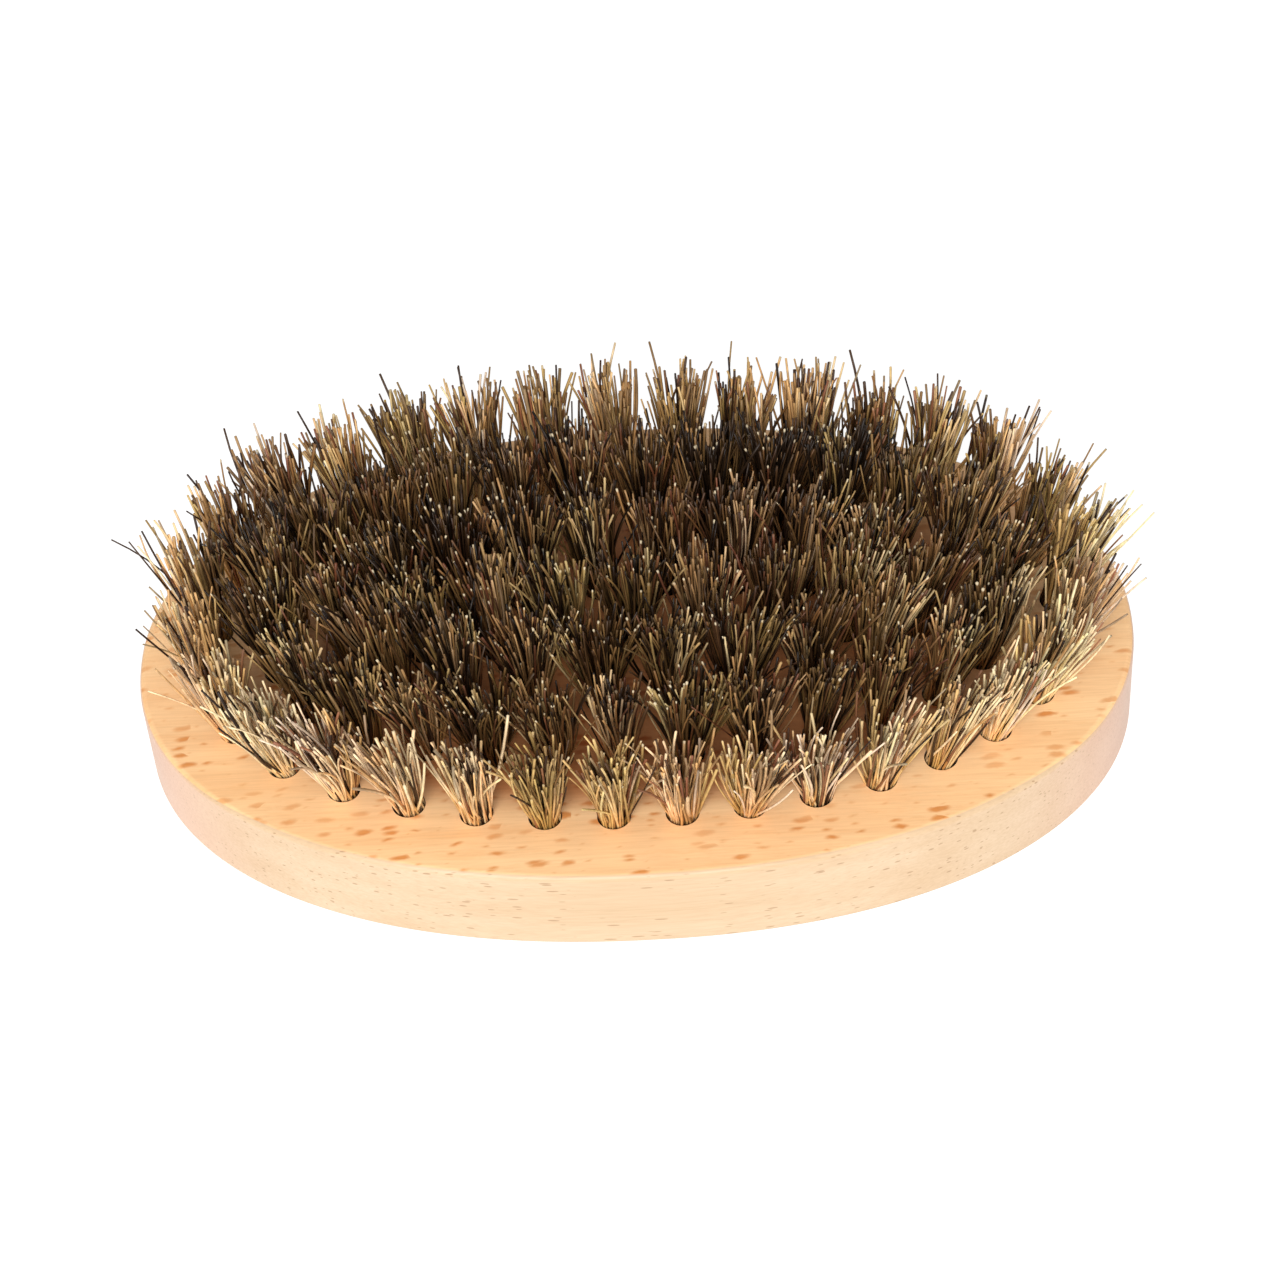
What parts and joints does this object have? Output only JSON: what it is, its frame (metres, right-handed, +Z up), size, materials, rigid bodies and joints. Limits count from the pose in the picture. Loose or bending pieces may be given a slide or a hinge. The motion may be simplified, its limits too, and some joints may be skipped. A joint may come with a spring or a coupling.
{
  "type": "beard brush",
  "caption": "Oval palm-held beard brush: a flat beech block with tufts of boar bristle set in drilled holes, standing on its flat back.",
  "frame": {"origin": "centre of the block's flat back, which the brush lies on", "axes": "+X along the block's length, +Y across its width, +Z up out of the bristles"},
  "size_m": [0.1, 0.06, 0.0225],
  "materials": {
    "beech": "sanded beech, lightly waxed, satin",
    "pale_bristle": "natural boar bristle, straw to olive brown with some black hairs",
    "dark_bristle": "natural boar bristle, brown to black with straw hairs and pale cut tips",
    "anchor_steel": "plain flat steel wire"
  },
  "bodies": {
    "root": {"beech_block": "beech", "outer_ring_tufts_01": "pale_bristle", "outer_ring_anchor_01": "anchor_steel", "outer_ring_tufts_02": "pale_bristle", "outer_ring_anchor_02": "anchor_steel", "outer_ring_tufts_03": "pale_bristle", "outer_ring_anchor_03": "anchor_steel", "outer_ring_tufts_04": "pale_bristle", "outer_ring_anchor_04": "anchor_steel", "outer_ring_tufts_05": "pale_bristle", "outer_ring_anchor_05": "anchor_steel", "outer_ring_tufts_06": "pale_bristle", "outer_ring_anchor_06": "anchor_steel", "outer_ring_tufts_07": "pale_bristle", "outer_ring_anchor_07": "anchor_steel", "outer_ring_tufts_08": "pale_bristle", "outer_ring_anchor_08": "anchor_steel", "outer_ring_tufts_09": "pale_bristle", "outer_ring_anchor_09": "anchor_steel", "outer_ring_tufts_10": "pale_bristle", "outer_ring_anchor_10": "anchor_steel", "outer_ring_tufts_11": "pale_bristle", "outer_ring_anchor_11": "anchor_steel", "second_ring_tufts_01": "dark_bristle", "second_ring_anchor_01": "anchor_steel", "second_ring_tufts_02": "dark_bristle", "second_ring_anchor_02": "anchor_steel", "second_ring_tufts_03": "dark_bristle", "second_ring_anchor_03": "anchor_steel", "second_ring_tufts_04": "dark_bristle", "second_ring_anchor_04": "anchor_steel", "second_ring_tufts_05": "dark_bristle", "second_ring_anchor_05": "anchor_steel", "second_ring_tufts_06": "dark_bristle", "second_ring_anchor_06": "anchor_steel", "second_ring_tufts_07": "dark_bristle", "second_ring_anchor_07": "anchor_steel", "second_ring_tufts_08": "dark_bristle", "second_ring_anchor_08": "anchor_steel", "second_ring_tufts_09": "dark_bristle", "second_ring_anchor_09": "anchor_steel", "inner_ring_tufts_01": "dark_bristle", "inner_ring_anchor_01": "anchor_steel", "inner_ring_tufts_02": "dark_bristle", "inner_ring_anchor_02": "anchor_steel", "inner_ring_tufts_03": "dark_bristle", "inner_ring_anchor_03": "anchor_steel", "inner_ring_tufts_04": "dark_bristle", "inner_ring_anchor_04": "anchor_steel", "inner_ring_tufts_05": "dark_bristle", "inner_ring_anchor_05": "anchor_steel", "inner_ring_tufts_06": "dark_bristle", "inner_ring_anchor_06": "anchor_steel", "centre_row_tufts_01": "dark_bristle", "centre_row_anchor_01": "anchor_steel", "centre_row_tufts_02": "dark_bristle", "centre_row_anchor_02": "anchor_steel", "centre_row_tufts_03": "dark_bristle", "centre_row_anchor_03": "anchor_steel"}
  },
  "joints": []
}
